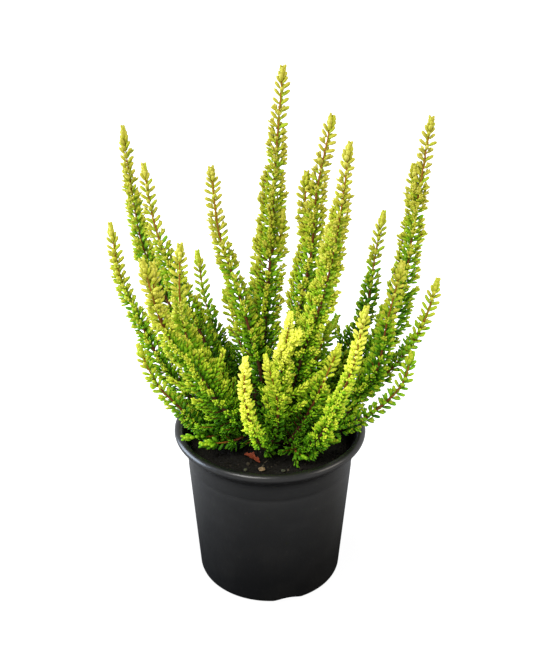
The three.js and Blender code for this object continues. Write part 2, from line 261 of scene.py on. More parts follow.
MOTTLE = Effect("mottle", "Mask", Scale=100.0, From=0.4, To=0.6)
patches = MOTTLE.noise(MOTTLE.start["Vector"], MOTTLE.start["Scale"], detail=4.0, roughness=0.6)
MOTTLE.feed(MOTTLE.end, MOTTLE.rescale(patches, MOTTLE.start["From"], MOTTLE.start["To"]))

GRAIN = Effect("grain", "Height", Scale=1500.0)
height = GRAIN.noise(GRAIN.start["Vector"], GRAIN.start["Scale"], detail=3.0, roughness=0.7)
GRAIN.feed(GRAIN.end, height)

STREAKS = Effect("streaks", "Mask", Scale=20.0, Stretch=12.0, From=0.5, To=0.7)
stretch = STREAKS.add("CombineXYZ", {"X": 1.0, "Y": 1.0, "Z": STREAKS.start["Stretch"]}).outputs["Vector"]
squeezed = STREAKS.add("VectorMath", {0: STREAKS.start["Vector"], 1: stretch}, operation="MULTIPLY")
marks = STREAKS.noise(squeezed.outputs["Vector"], STREAKS.start["Scale"], detail=5.0, roughness=0.65)
STREAKS.feed(STREAKS.end, STREAKS.rescale(marks, STREAKS.start["From"], STREAKS.start["To"]))
print("shared effects:", [shared.tree.name for shared in (MOTTLE, GRAIN, STREAKS)])

# %% [markdown]
# A material starts from the plain Principled shader. A shared effect is placed in it with values of
# its own, a mask moves the roughness, and a grain turns into a bump.

# %% Materials
class Skin(Nodes):
    """A material in the making, with the inputs of its shader and the place on the piece."""

    def __init__(self, name, roughness, specular):
        self.material = bpy.data.materials.new(name)
        self.material.use_nodes = True
        super().__init__(self.material.node_tree)
        self.shader = self.tree.nodes["Principled BSDF"].inputs
        self.feed(self.shader["Roughness"], roughness)
        self.feed(self.shader["Specular IOR Level"], specular)
        self.place = self.add("TexCoord").outputs["Object"]

    def effect(self, shared, **values):
        """Places a shared effect and returns its output."""
        return self.add("Group", {"Vector": self.place, **values}, node_tree=shared.tree).outputs[0]

    def colour(self, value):
        self.feed(self.shader["Base Color"], value)

    def roughen(self, mask, low, high):
        """Lets the roughness run between two values by a mask."""
        self.feed(self.shader["Roughness"], self.rescale(mask, 0, 1, low, high))

    def raise_grain(self, scale, depth, strength=0.8):
        """Bumps the surface by a fine grain, at most `depth` mm high."""
        height = self.effect(GRAIN, Scale=scale)
        node = self.add("Bump", {"Strength": strength, "Distance": depth * MM, "Height": height})
        self.feed(self.shader["Normal"], node.outputs["Normal"])

# %% [markdown]
# ## Floor and light
# The plant stands on white paper under a high soft key lamp at the left front, with a weak fill from
# the right and a cool lamp like a window from the left. To the eye the paper and the sky are plain
# white, but they give the plant less light than that. The paper gives least of all round the foot,
# where its colour is a painted shade that darkens towards the pot, and the sky gives more from the
# sides than from overhead, as in a studio whose white walls are far away: the leaves keep deep gaps,
# and the black pot mirrors the painted shade on the floor.

# %% Floor
FLOOR_SIZE = 40.0
PAPER_GLOW = 0.97
PAINTED_SHADE_FULL_TO = 0.06
PAINTED_SHADE_GONE_AT = 0.26

floor = add_solid("floor", bpy.ops.mesh.primitive_plane_add, size=FLOOR_SIZE)
paper = Skin("white_paper", roughness=0.9, specular=0.1)
away = paper.add("VectorMath", {0: paper.place}, operation="LENGTH").outputs["Value"]
# The paper's colour is a painted shade: near black round the pot's foot, light grey further out.
painted_shade_fade = paper.rescale(away, PAINTED_SHADE_FULL_TO, PAINTED_SHADE_GONE_AT)
paper.colour(paper.mix(painted_shade_fade, (0.03, 0.03, 0.03, 1), (0.60, 0.60, 0.60, 1)))
seen = paper.add("LightPath").outputs["Is Camera Ray"]
paper.feed(paper.shader["Emission Color"], (1, 1, 1, 1))
paper.feed(paper.shader["Emission Strength"], paper.number("MULTIPLY", seen, PAPER_GLOW))
floor.data.materials.append(paper.material)
print("floor is", FLOOR_SIZE, "m wide")

# %% Lamps and sky
OVERHEAD_SKY = 0.50
LEVEL_SKY = 1.05
SEEN_SKY = 1.1

sky = bpy.data.worlds.new("white_sky")
sky.use_nodes = True
air = Nodes(sky.node_tree)
background = air.tree.nodes["Background"].inputs
air.feed(background["Color"], (1, 1, 1, 1))
upwards = air.add("SeparateXYZ", {"Vector": air.add("TexCoord").outputs["Generated"]}).outputs["Z"]
given = air.rescale(upwards, 0, 1, LEVEL_SKY, OVERHEAD_SKY)
seen = air.add("LightPath").outputs["Is Camera Ray"]
air.feed(background["Strength"], air.rescale(seen, 0, 1, given, SEEN_SKY))
bpy.context.scene.world = sky
bpy.context.scene.view_settings.view_transform = "Standard"


def add_lamp(name, place, size, power, colour):
    """A square soft lamp that faces the middle of the plant."""
    bpy.ops.object.light_add(type="AREA", location=place)
    lamp = bpy.context.object
    lamp.name = name
    lamp.rotation_euler = (Vector(place) - AIM).to_track_quat("Z", "Y").to_euler()
    lamp.data.size = size
    lamp.data.energy = power
    lamp.data.color = colour


add_lamp("key_lamp", (-1.0, -1.6, 2.4), size=1.2, power=71.0, colour=(1.0, 0.98, 0.94))
add_lamp("fill_lamp", (1.1, -0.35, 0.7), size=0.6, power=6.0, colour=(1.0, 0.92, 0.80))
add_lamp("window_lamp", (-1.25, 0.20, 0.32), size=1.0, power=35.0, colour=(0.70, 0.82, 1.0))

# %% [markdown]
# ## Pot: the body
# A thin moulded pot is a turned shape: a flat foot with a rounded corner, a wall that leans out a few
# degrees, a small shoulder where pots nest in a stack, and a flare that curls over into a thick lip.
# Its section is drawn as a chain of points pushed out one after another, then spun round the middle.
# The spin gives a true circle and the section gives every radius, so one short list sets the shape.

# %% Pot sizes
POT_HEIGHT = 107
POT_WALL = 1.3
FLOOR_THICKNESS = 1.5
LIP_RADIUS = 60
LIP_BEAD = 2.8
NECK_RADIUS = 52.6
NECK_HEIGHT = 92
FLARE_RISE = 5
FLARE_OUT = 1.4
STEP_HEIGHT = 84
STEP_DEPTH = 0.6
STEP_DENTS = ((-4, 0), (-1.5, 0.3), (0, 0.5), (0.8, 0.35), (2.4, 0))
FOOT_RADIUS = 45.5
FOOT_CORNER = 5
PAD_RADIUS = 30
GROOVE_HEIGHT = 2
GROOVE_INNER = 31.5
GROOVE_OUTER = 36
FOOT_INNER = 37.5
SPIN_STEPS = 144
SEAM_WIDTH = 0.02

# %% Pot section
def arc(centre_radius, centre_height, radius, from_deg, to_deg, steps):
    """Points of an arc in a turned section, as (radius, height)."""
    turns = [math.radians(from_deg + (to_deg - from_deg) * i / steps) for i in range(steps + 1)]
    return [(centre_radius + radius * math.cos(t), centre_height + radius * math.sin(t)) for t in turns]


def wall_point(height, dent=0):
    """A point of the outside of the wall, which leans out evenly from its foot to its neck."""
    lean = (NECK_RADIUS - FOOT_RADIUS) * (height - FOOT_CORNER) / (NECK_HEIGHT - FOOT_CORNER)
    return FOOT_RADIUS + lean - dent * STEP_DEPTH, height


def pot_section():
    foot_flat = FOOT_RADIUS - FOOT_CORNER
    bead_height = POT_HEIGHT - LIP_BEAD
    flare = NECK_RADIUS + FLARE_OUT / 2
    flare_top = NECK_HEIGHT + FLARE_RISE
    underside = [(0, 0), (PAD_RADIUS, 0), (GROOVE_INNER, GROOVE_HEIGHT),
                 (GROOVE_OUTER, GROOVE_HEIGHT), (FOOT_INNER, 0)]
    outside = arc(foot_flat, FOOT_CORNER, FOOT_CORNER, -90, 0, 10)
    outside += [wall_point(height) for height in (20, 36, 52, 68)]
    outside += [wall_point(STEP_HEIGHT + above, dent) for above, dent in STEP_DENTS]
    outside += [(NECK_RADIUS, NECK_HEIGHT), (NECK_RADIUS + FLARE_OUT * 0.4, NECK_HEIGHT + FLARE_RISE * 0.6),
                (NECK_RADIUS + FLARE_OUT, flare_top)]
    lip = arc(LIP_RADIUS - LIP_BEAD, bead_height, LIP_BEAD, -50, 120, 18)
    inside = [(flare, bead_height - LIP_BEAD / 2), (flare - POT_WALL, flare_top),
              (NECK_RADIUS - POT_WALL, NECK_HEIGHT)]
    inside += arc(foot_flat, FOOT_CORNER, FOOT_CORNER - POT_WALL, 0, -90, 6)
    half = FLOOR_THICKNESS / 2
    raised = GROOVE_HEIGHT + FLOOR_THICKNESS
    bottom = [(FOOT_INNER + half, FLOOR_THICKNESS), (GROOVE_OUTER + half, raised),
              (GROOVE_INNER - half, raised), (PAD_RADIUS - half, FLOOR_THICKNESS), (0, FLOOR_THICKNESS)]
    return underside + outside + lip + inside + bottom

# %% Spin the pot
def spin_section(name, section, steps):
    """Draws a section as a chain of edges, spins it round Z and closes it."""
    place = (section[0][0] * MM, 0, section[0][1] * MM)
    piece = add_solid(name, bpy.ops.mesh.primitive_plane_add, size=MM, location=place)
    piece.data.name = name
    edit(piece)
    bpy.ops.mesh.merge(type="CENTER")
    for start, end in zip(section, section[1:]):
        push = ((end[0] - start[0]) * MM, 0, (end[1] - start[1]) * MM)
        bpy.ops.mesh.extrude_vertices_move(TRANSFORM_OT_translate={"value": push})
    bpy.ops.mesh.select_all(action="SELECT")
    bpy.ops.mesh.spin(steps=steps, angle=math.tau, center=(0, 0, 0), axis=(0, 0, 1))
    bpy.ops.mesh.select_all(action="SELECT")
    bpy.ops.mesh.remove_doubles(threshold=SEAM_WIDTH * MM)
    bpy.ops.mesh.normals_make_consistent(inside=False)
    leave_edit()
    return piece


pot = spin_section("nursery_pot", pot_section(), SPIN_STEPS)
print("pot section points:", len(pot_section()), "faces:", len(pot.data.polygons))

# %% [markdown]
# ## Pot: drain slots
# Water leaves a nursery pot through notches in the corner of its foot. The notch tool is a lying
# cylinder whose top rises a little above the ground. It is placed four times round the foot and cut
# out together, which leaves low arches in the foot line.

# %% Pot drain slots
SLOT_COUNT = 4
SLOT_ARCH_RADIUS = 16.5
SLOT_DEPTH = 12
SLOT_TOP = 4.2
SLOT_FIRST = math.radians(-75)


def slot_cutter(turn):
    """A lying cylinder across the corner of the foot, which leaves a low arch."""
    reach = (FOOT_INNER + SLOT_DEPTH / 2) * MM
    centre = (math.cos(turn) * reach, math.sin(turn) * reach, (SLOT_TOP - SLOT_ARCH_RADIUS) * MM)
    return add_solid("slot_tool", bpy.ops.mesh.primitive_cylinder_add, vertices=96, location=centre,
                     rotation=(0, math.pi / 2, turn), radius=SLOT_ARCH_RADIUS * MM, depth=SLOT_DEPTH * MM)


slot_tool = join([slot_cutter(SLOT_FIRST + math.tau * i / SLOT_COUNT) for i in range(SLOT_COUNT)])
apply_modifier(pot, "BOOLEAN", operation="DIFFERENCE", object=slot_tool, solver="EXACT")
bpy.data.objects.remove(slot_tool)
merge_points(pot)
smooth(pot, sharp_from=32)
print("pot with slots:", len(pot.data.polygons), "faces")

# %% [markdown]
# ## Pot plastic
# Cheap black polypropylene is a very dark grey with a satin skin. It picks up faint sideways rub marks,
# a thin film of dust and specks of dried water. All of these are light masks over one dark colour, and
# dust and rubs also make the skin duller, since they hide the gloss.

# %% Pot material
plastic = Skin("pot_plastic", roughness=0.4, specular=0.46)
dust = plastic.effect(MOTTLE, Scale=40.0, From=0.45, To=0.9)
rubs = plastic.effect(STREAKS, Scale=16.0, Stretch=5.0, From=0.55, To=0.95)
specks = plastic.effect(MOTTLE, Scale=620.0, From=0.68, To=0.74)
colour = plastic.mix(dust, (0.0042, 0.0043, 0.0046, 1), (0.0090, 0.0086, 0.0080, 1))
colour = plastic.mix(rubs, colour, (0.0110, 0.0110, 0.0115, 1))
plastic.colour(plastic.mix(plastic.number("MULTIPLY", specks, 0.5), colour, (0.07, 0.062, 0.05, 1)))
plastic.roughen(plastic.number("MAXIMUM", dust, rubs), 0.28, 0.38)
plastic.raise_grain(scale=900.0, depth=0.04, strength=0.4)
settle(pot, plastic, "pot")

# %% [markdown]
# ## Potting mix: the body
# Moist peat fills the pot to a finger's width below the lip. It is spun like the pot, with close rings
# on top, and its upper face is then pushed about by noise: broad waves where it was tipped in and
# fine lumps on those. It settles lower against the wall. Displacing real points, instead of painting
# bumps, makes the edge against the lip ragged too.

# %% Potting mix
MIX_HEIGHT = 95.2
MIX_EDGE_DROP = 2.5
MIX_INSET = 1.65
MIX_BOTTOM = 3.85
CROWN_RADIUS = 9
CROWN_HEIGHT = 97
MIX_RING_SPACING = 0.75
MIX_SPIN_STEPS = 210
MIX_TOP_RADIUS = NECK_RADIUS - MIX_INSET - 1.5
MIX_TOP_FROM = MIX_HEIGHT - MIX_EDGE_DROP - 0.5
EDGE_SLOPE_WIDTH = 5


def waves(x, y):
    """How far the surface of the mix lies above its own level, in mm."""
    broad = 0.6 * math.sin(x / 8 + 1) * math.cos(y / 10)
    return broad + 0.4 * math.sin(x / 3.1) * math.sin(y / 3.7 + 2)


def edge_drop(radius):
    """How much lower the mix lies at a distance from the middle, near the wall."""
    return MIX_EDGE_DROP * max(0, 1 - (MIX_TOP_RADIUS - radius) / EDGE_SLOPE_WIDTH) ** 2


def mix_section():
    outline = [(0, MIX_BOTTOM), (FOOT_RADIUS - MIX_INSET - 1, MIX_BOTTOM),
               (NECK_RADIUS - MIX_INSET - 0.1, MIX_HEIGHT - MIX_EDGE_DROP - 1)]
    rings = int((MIX_TOP_RADIUS - CROWN_RADIUS + 2) / MIX_RING_SPACING)
    radii = [MIX_TOP_RADIUS - i * MIX_RING_SPACING for i in range(rings + 1)]
    return outline + [(radius, MIX_HEIGHT - edge_drop(radius)) for radius in radii] + [(0, MIX_HEIGHT - 0.5)]


mix = spin_section("peat_surface", mix_section(), MIX_SPIN_STEPS)
for point in mix.data.vertices:
    x, y, z = point.co / MM
    if z > MIX_TOP_FROM:
        point.co.z += waves(x, y) * MM

top = mix.vertex_groups.new(name="top")
top.add([p.index for p in mix.data.vertices if p.co.z > (MIX_TOP_FROM - 1.5) * MM], 1.0, "REPLACE")
push_about(mix, "lumps", scale=1.7, strength=1.6, mid_level=0.55, depth=4,
           vertex_group="top", direction="Z")
smooth(mix)
print("mix:", len(mix.data.polygons), "faces")

# %% [markdown]
# ## Potting mix: crumbs
# What makes peat read as peat is the loose stuff on top: crumbs, bits of bark and short fibres. Four
# crumb shapes are modelled from a ball that is pulled about at random, and scattered copies, each
# turned and sized by chance, lie half sunk in the surface. The fibres are crumbs drawn out thin.

# %% Crumb shapes
def take_shape(model):
    """Points and triangles of a model as arrays, for placing copies of it. The model is removed."""
    edit(model)
    bpy.ops.mesh.quads_convert_to_tris()
    leave_edit()
    points = np.array([point.co for point in model.data.vertices])
    triangles = np.array([face.vertices for face in model.data.polygons])
    bpy.data.objects.remove(model)
    return points, triangles


def crumb_form(seed, roundness):
    """A small angular lump: a ball with its points pulled about."""
    lump = add_solid("crumb", bpy.ops.mesh.primitive_ico_sphere_add, subdivisions=roundness, radius=0.5)
    edit(lump)
    bpy.ops.transform.vertex_random(offset=0.13, uniform=0.2, normal=0.4, seed=seed)
    leave_edit()
    return take_shape(lump)


def from_arrays(name, parts):
    """One mesh from many (points, triangles) copies."""
    points = np.concatenate([part[0] for part in parts])
    offsets = np.cumsum([0] + [len(part[0]) for part in parts[:-1]])
    triangles = np.concatenate([part[1] + offset for part, offset in zip(parts, offsets)])
    mesh = bpy.data.meshes.new(name)
    mesh.from_pydata(points.tolist(), [], triangles.tolist())
    mesh.update()
    return add_to_scene(name, mesh)


crumb_forms = [crumb_form(seed=i + 3, roundness=1 + i % 2) for i in range(4)]
print("crumb shapes:", [len(form[1]) for form in crumb_forms], "triangles each")

# %% Scatter the crumbs
CRUMB_COUNT = 900
SLIVER_COUNT = 160
CRUMB_SPREAD = 49.3

chance = random.Random(11)


def mix_height(x, y):
    """Height in mm of the surface of the mix."""
    return MIX_HEIGHT + waves(x, y) - edge_drop(math.hypot(x, y))


def lie_at_random(form, size, tilt):
    """A copy of a form of that size in mm, turned by chance and half sunk in the mix."""
    points, triangles = form
    radius = CRUMB_SPREAD * math.sqrt(chance.random())
    heading = chance.uniform(0, math.tau)
    x, y = radius * math.cos(heading), radius * math.sin(heading)
    turn = Vector((1, 0, 0)).rotation_difference(
        Vector((math.cos(heading * 7), math.sin(heading * 7), chance.uniform(-tilt, tilt)))).to_matrix()
    raised = chance.uniform(0.1, 0.5) * size[2]
    place = np.array([x, y, mix_height(x, y) + raised])
    return (points * size @ np.array(turn).T + place) * MM, triangles


crumbs = []
for _ in range(CRUMB_COUNT):
    size = chance.uniform(0.6, 1.3) if chance.random() < 0.9 else chance.uniform(1.3, 2.6)
    lengths = np.array([size * chance.uniform(1.0, 1.6), size, size * chance.uniform(0.5, 0.9)])
    crumbs.append(lie_at_random(chance.choice(crumb_forms), lengths, 0.5))
for _ in range(SLIVER_COUNT):
    lengths = np.array([chance.uniform(3.0, 8.0), chance.uniform(0.5, 1.0), chance.uniform(0.4, 0.7)])
    crumbs.append(lie_at_random(crumb_forms[0], lengths, 0.25))
loose = from_arrays("peat_crumbs", crumbs)
store(loose, "chance", np.concatenate([np.full(len(points), chance.random()) for points, _ in crumbs]))
join([mix, loose])
print("peat with crumbs:", len(mix.data.polygons), "faces")

# %% [markdown]
# ## Potting mix: colour
# Wet peat is close to black. Only the drier crumbs turn brown, a few are as pale as dry bark, and damp
# patches shine a little. Each crumb carries a number of its own, drawn by chance, that picks its
# colour from a ramp, so neighbouring crumbs differ.

# %% Mix material
peat = Skin("moist_peat", roughness=0.9, specular=0.12)
patches = peat.effect(MOTTLE, Scale=210.0, From=0.42, To=0.75)
own = peat.ramp(peat.read("chance"), [
    (0.0, (0.0085, 0.0075, 0.0060)), (0.6, (0.0120, 0.0100, 0.0075)),
    (0.85, (0.0220, 0.0180, 0.0125)), (0.95, (0.045, 0.036, 0.024)), (1.0, (0.110, 0.092, 0.060))])
peat.colour(peat.mix(patches, own, (0.0120, 0.0105, 0.0085, 1)))
peat.roughen(patches, 0.7, 0.95)
peat.raise_grain(scale=1300.0, depth=0.25)
settle(mix, peat, "potting_mix")

# %% [markdown]
# ## The bush as a plan
# Every shoot is a line through a few given points, in millimetres from the pot's foot. The first
# shoot of a branch grows from the crown, and each other one forks off it at a share of its length.
# `spread` is how far its leaves reach where the shoot is widest, `sun` is how much of the sun reaches
# it, and `tips` lists short side shoots, as the share where each leaves the shoot and the place of its
# tip. The same lines carry the wood and the leaves, so the two can't drift apart.

# %% Plan of the shoots
def shoot(name, spread, path, fork=0.0, tips=(), sun=0.0):
    return {"name": name, "spread": spread, "path": path, "fork": fork, "tips": tips, "sun": sun}


BUSH = {
    "centre": [
        shoot("tall", 9.5, [(-4, 5, 130), (-4, 8, 162), (0, 11, 215), (3, 15, 275), (7, 18, 331)],
              tips=[(0.50, (7.5, 12, 246))]),
        shoot("centre_left", 8, [(-7, -3, 152), (-19, 3, 197), (-30, 4, 236), (-34, 5, 276)], fork=0.1),
        shoot("centre_back", 8, [(-8, 27, 166), (-6, 50, 220)], fork=0.14),
    ],
    "right_centre": [
        shoot("upright_right", 9,
              [(12, -2, 130), (18, -3, 190), (24, -4, 228), (26, -5, 262), (34, -8, 311)],
              tips=[(0.60, (20.5, -2, 276))]),
        shoot("upright_right_front", 9,
              [(21, -14, 170), (31, -26, 212), (38, -36, 262), (42, -42, 308)], fork=0.1,
              tips=[(0.58, (32.5, -22, 251))], sun=0.4),
        shoot("upright_right_back", 8, [(20, 24, 145), (27, 48, 190)], fork=0.08),
        shoot("middle_right", 7, [(19, 4, 128), (28, 8, 149), (37, 11, 173)], fork=0.06),
    ],
    "right_back": [
        shoot("far_right_tall", 9,
              [(27, 13, 115), (52, 21, 130), (71, 27, 150), (83, 34, 188), (89, 42, 233), (96, 48, 291)],
              tips=[(0.74, (87, 46, 262))]),
        shoot("far_right_front", 7.4,
              [(50, 2, 126), (64, -4, 145), (70, -6, 183), (77, -9, 223)], fork=0.12),
        shoot("right_back_small", 7,
              [(43, 26, 132), (60, 42, 162), (67, 53, 204), (71, 58, 226)], fork=0.1),
    ],
    "right": [
        shoot("right_arching", 3.9,
              [(34, -8, 107), (58, -1, 128), (80, 3, 152), (93, 5, 176), (100, 5, 205)]),
        shoot("right_low", 3.7, [(48, -13, 113), (64, -16, 126), (79, -20, 147), (84, -22, 170)], fork=0.16),
        shoot("right_skirt", 3.8, [(34, 5, 105), (57, 6, 112)], fork=0.06),
    ],
    "left_back": [
        shoot("left_tall", 8,
              [(-27, 14, 120), (-48, 24, 152), (-63, 29, 177), (-78, 39, 209), (-84, 45, 243),
               (-88, 48, 285)]),
        shoot("left_tall_inner", 8,
              [(-38, 10, 154), (-60, 14, 207), (-70, 19, 241), (-74, 22, 271)], fork=0.16),
        shoot("left_small", 6, [(-30, 28, 140), (-41, 45, 170), (-46, 55, 200)], fork=0.1),
    ],
    "left": [
        shoot("far_left", 7,
              [(-34, -3, 109), (-54, 3, 130), (-66, 5, 146), (-79, 7, 175), (-89, 8, 202), (-94, 9, 239)]),
        shoot("left_low", 4.5,
              [(-43, -14, 114), (-55, -20, 131), (-68, -22, 149), (-78, -22, 175)], fork=0.14),
        shoot("left_skirt", 6.5, [(-29, -12, 106), (-53, -23, 111)], fork=0.06),
    ],
    "front_left": [
        shoot("front_left", 10,
              [(-14, -14, 113), (-30, -26, 136), (-44, -34, 166), (-59, -45, 195), (-70, -52, 244)],
              tips=[(0.68, (-65, -48, 240))], sun=0.3),
        shoot("front_left_inner", 9,
              [(-30, -15, 141), (-46, -20, 169), (-52, -23, 202), (-51, -24, 241)], fork=0.1,
              sun=0.35),
        shoot("front_left_skirt", 5.6, [(-21, -19, 107), (-42, -29, 110)], fork=0.06, sun=0.3),
    ],
    "front": [
        shoot("front", 4.6,
              [(-1, -20, 102), (-5, -33, 112), (-13, -45, 141), (-15, -49, 163), (-14, -52, 184)], sun=1),
        shoot("front_inner", 4.2, [(4, -22, 118), (4, -28, 142), (-3, -36, 176)], fork=0.1, sun=0.5),
    ],
    "middle": [
        shoot("middle_front", 8.4, [(3, -12, 118), (8, -15, 161), (12, -22, 197)],
              tips=[(0.62, (6.5, -23, 182)), (0.72, (16, -20, 184))], sun=1),
    ],
    "front_right": [
        shoot("front_right", 5.5,
              [(13, -14, 102), (22, -27, 105), (31, -35, 121), (40, -43, 149), (47, -50, 177),
               (53, -55, 217)], sun=0.7),
        shoot("front_right_inner", 8, [(22, -13, 120), (31, -17, 144), (41, -20, 174)], fork=0.06, sun=0.4),
        shoot("front_right_skirt", 4, [(31, -22, 106), (42, -24, 110)], fork=0.16, sun=0.1),
        shoot("front_skirt", 7.5, [(16, -26, 103), (22, -36, 105)], fork=0.1, sun=0.4),
    ],
    "back_right": [
        shoot("back_right", 8, [(12, 23, 113), (31, 43, 128), (44, 60, 152)]),
        shoot("back_right_outer", 8, [(36, 38, 120), (57, 58, 140)], fork=0.12),
        shoot("back_middle", 8, [(8, 36, 114), (10, 60, 135)], fork=0.1),
    ],
    "back_left": [
        shoot("back_left", 8, [(-10, 18, 120), (-20, 40, 146), (-29, 54, 174)]),
        shoot("back_left_inner", 8, [(-32, 44, 130), (-50, 62, 152)], fork=0.18),
        shoot("back_left_outer", 8, [(-42, 30, 130), (-64, 44, 160)], fork=0.12),
        shoot("back_left_skirt", 7, [(-18, 34, 108), (-34, 50, 113)], fork=0.08),
    ],
}

# %% [markdown]
# ## Routes
# A centripetal Catmull-Rom spline passes through all its points and doesn't overshoot between uneven
# ones, which suits stems. The route keeps the line as closely spaced points, so that the place and
# direction at any distance along it are a simple look-up. The sideways directions are taken from one
# fixed line towards the plant's show side, so leaves that are set out round the stem don't twist along
# it, and every second pair spreads flat to that side.

# %% Routes of the stems
ROUTE_STEP = 0.5
SPLINE_PARTS = 60
SHOW_SIDE = np.array([0, -0.88, 0.47])


def unit(vector):
    return vector / np.linalg.norm(vector)


def spline_through(points):
    """A centripetal Catmull-Rom spline through the points."""
    p = np.array(points, float)
    p = np.vstack([2 * p[0] - p[1], p, 2 * p[-1] - p[-2]])
    gaps = np.sqrt(np.linalg.norm(np.diff(p, axis=0), axis=1))
    t = np.linspace(0, 1, SPLINE_PARTS, endpoint=False)[:, None]
    line = []
    for i in range(1, len(p) - 2):
        before, span, after = gaps[i - 1:i + 2]
        through = (p[i + 1] - p[i]) / span
        leave = span * ((p[i] - p[i - 1]) / before - (p[i + 1] - p[i - 1]) / (before + span) + through)
        arrive = span * (through - (p[i + 2] - p[i]) / (span + after) + (p[i + 2] - p[i + 1]) / after)
        bend = -3 * p[i] + 3 * p[i + 1] - 2 * leave - arrive
        twist = 2 * p[i] - 2 * p[i + 1] + leave + arrive
        line.append(p[i] + leave * t + bend * t ** 2 + twist * t ** 3)
    return np.vstack([*line, p[-2:-1]])


class Route:
    """The line of a stem, with places and directions at distances from its foot."""

    def __init__(self, points):
        line = spline_through(points)
        travelled = np.concatenate([[0], np.cumsum(np.linalg.norm(np.diff(line, axis=0), axis=1))])
        self.length = travelled[-1]
        self.distances = np.linspace(0, self.length, int(self.length / ROUTE_STEP))
        self.line = np.column_stack([np.interp(self.distances, travelled, line[:, k]) for k in range(3)])

    def point(self, distance):
        return np.array([np.interp(distance, self.distances, self.line[:, k]) for k in range(3)])

    def directions(self, distance):
        """Forward along the stem, to its side and towards the show side, square to each other."""
        ahead = self.point(min(distance + 1, self.length))
        forward = unit(ahead - self.point(max(distance - 1, 0)))
        facing = unit(SHOW_SIDE - forward * SHOW_SIDE.dot(forward))
        return forward, np.cross(forward, facing), facing

# %% Lay out the shoots
CROWN_MIDDLE = np.array([0, 0, CROWN_HEIGHT])
STEM_START = CROWN_RADIUS + 0.35
MAIN_STEM_RADIUS = 2.2
SIDE_STEM_RADIUS = 1.5
STEM_TIP_RADIUS = 0.38
STEM_TAPER = 2.0
BUD_LENGTH = 9
SIDE_TIP_SPREAD = 5.5
SIDE_TIP_RADIUS = 0.75
SIDE_TIP_BOW = 2.5


def side_tip(parent, share, tip):
    """A short shoot that bows out from its parent at a share of the length and turns up beside it."""
    foot = parent["route"].point(parent["route"].length * share)
    tip = np.array(tip, float)
    middle = (foot + tip) / 2 + unit((tip - foot) * (1, 1, 0)) * SIDE_TIP_BOW
    return {**parent, "spread": SIDE_TIP_SPREAD, "is_main": False, "foot_radius": SIDE_TIP_RADIUS,
            "route": Route([foot, middle, tip])}


shoots = []
for branch, rows in BUSH.items():
    for row in rows:
        is_main = row is rows[0]
        if is_main:
            start = CROWN_MIDDLE + unit(np.array(row["path"][0]) - CROWN_MIDDLE) * STEM_START
        else:
            start = main.point(main.length * row["fork"])
        route = Route([start, *row["path"]])
        if is_main:
            main = route
        foot_radius = MAIN_STEM_RADIUS if is_main else SIDE_STEM_RADIUS
        plan = {**row, "branch": branch, "is_main": is_main, "foot_radius": foot_radius, "route": route}
        plan["side_tips"] = [side_tip(plan, share, tip) for share, tip in row["tips"]]
        shoots.append(plan)
print(len(shoots), "shoots, total length in mm:", round(sum(s["route"].length for s in shoots)))


def wood_radius(plan, distance):
    """Radius of a stem at a distance from its foot, in mm."""
    wood_length = plan["route"].length - BUD_LENGTH
    left = max(0, 1 - distance / wood_length)
    return STEM_TIP_RADIUS + (plan["foot_radius"] - STEM_TIP_RADIUS) * left ** STEM_TAPER


for plan in shoots:
    low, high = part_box("foliage_" + plan["name"])
    tip = plan["route"].line[-1]
    assert low.z - MM < tip[2] * MM < high.z + MM, f"{plan['name']} has left its place in the frame"

# %% [markdown]
# ## Leaf forms
# A heath leaf is a small oblong paddle, four to six millimetres long, thick for its width and
# blunt at the tip. It is modelled once: a cone with its point at the leaf's foot, whose open face is
# pushed out ring by ring and drawn together at the tip. There are tens of thousands of leaves, so the
# form has only six sides, and the leaves on the small side sprigs have four and one ring less.

# %% Leaf forms
LEAF_THICKNESS = 0.85


def leaf_form(rings, tip_droop, sides):
    """A leaf 1 long up Z and up to 1 wide in X. rings: (share of the length, half width)."""
    share, half_width = rings[0]
    leaf = add_solid("leaf", bpy.ops.mesh.primitive_cone_add, vertices=sides, radius1=0,
                     radius2=half_width, depth=share, location=(0, 0, share / 2))
    for face in leaf.data.polygons:
        face.select = face.normal.z > 0.9
    for item in (*leaf.data.vertices, *leaf.data.edges):
        item.select = False
    bpy.ops.object.mode_set(mode="EDIT")
    bpy.ops.mesh.select_mode(type="FACE")
    for next_share, next_width in rings[1:]:
        rise = next_share - share
        bpy.ops.mesh.extrude_region_move(TRANSFORM_OT_translate={"value": (0, tip_droop * rise, rise)})
        factor = next_width / half_width
        bpy.ops.transform.resize(value=(factor, factor, 1), center_override=(0, 0, next_share))
        share, half_width = next_share, next_width
    push = (0, tip_droop * (1 - share), 1 - share)
    bpy.ops.mesh.extrude_region_move(TRANSFORM_OT_translate={"value": push})
    bpy.ops.mesh.merge(type="CENTER")
    bpy.ops.mesh.select_all(action="SELECT")
    bpy.ops.transform.resize(value=(1, LEAF_THICKNESS, 1), center_override=(0, 0, 0))
    bpy.ops.mesh.normals_make_consistent(inside=False)
    leave_edit()
    return take_shape(leaf)


LEAF = leaf_form([(0.14, 0.26), (0.48, 0.46), (0.82, 0.41)], tip_droop=0.12, sides=6)
SPRIG_LEAF = leaf_form([(0.30, 0.42), (0.76, 0.45)], tip_droop=0.10, sides=4)
print("leaf:", len(LEAF[1]), "triangles, sprig leaf:", len(SPRIG_LEAF[1]))

# %% [markdown]
# ## Growing a shoot
# Heath leaves stand in pairs, each pair a quarter turn from the last, which makes four neat ranks. At
# the tip the pairs are packed into a bud, and below it they open out and space themselves. Further
# down, short leafy sprigs grow in the leaves' armpits, more and longer ones towards the foot of the
# shoot, which gives every shoot its feathery taper. In the lower half some sprigs grow on into side
# shoots two or three times as long. The rules are smooth functions of the distance below the tip.

